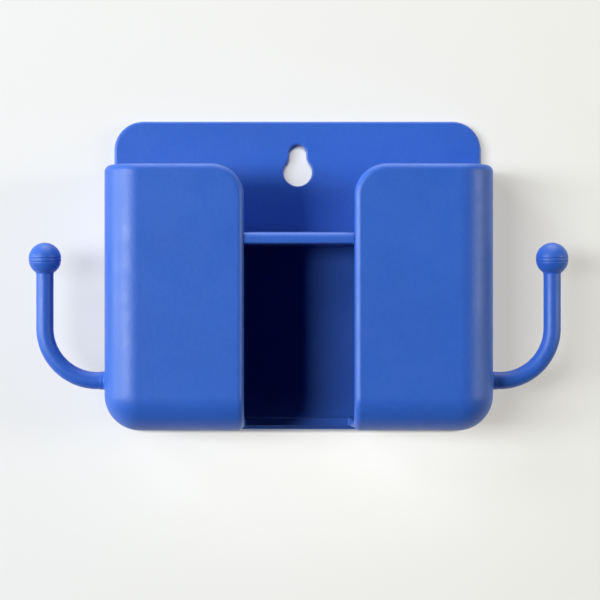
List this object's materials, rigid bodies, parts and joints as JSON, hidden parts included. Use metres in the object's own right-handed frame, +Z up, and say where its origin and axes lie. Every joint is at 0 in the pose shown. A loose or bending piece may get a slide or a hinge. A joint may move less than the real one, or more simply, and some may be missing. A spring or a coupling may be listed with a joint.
{
  "type": "wall-mounted pocket holder",
  "caption": "Blue matte plastic wall pocket with an open front slot, an inner shelf and a J-shaped hook with a ball tip on each side, hung from a keyhole in its back plate.",
  "frame": {"origin": "centre of the back plate's rear face, which lies on the wall", "axes": "+Y into the wall, +Z up, +X to the right as seen by someone facing the wall"},
  "size_m": [0.1406, 0.03, 0.0828],
  "materials": {
    "plate": "fine matte, moulded",
    "shell": "fine matte, moulded",
    "shelf": "fine matte, moulded",
    "hook": "fine matte, moulded",
    "ball_tip": "fine matte, moulded",
    "collar": "fine matte, moulded"
  },
  "bodies": {
    "root": {"back_plate": "plate", "front_shell": "shell", "shelf": "shelf", "hook_left": "hook", "hook_right": "hook", "ball_tip_left": "ball_tip", "ball_tip_right": "ball_tip", "hook_collar_left": "collar", "hook_collar_right": "collar"}
  },
  "joints": []
}
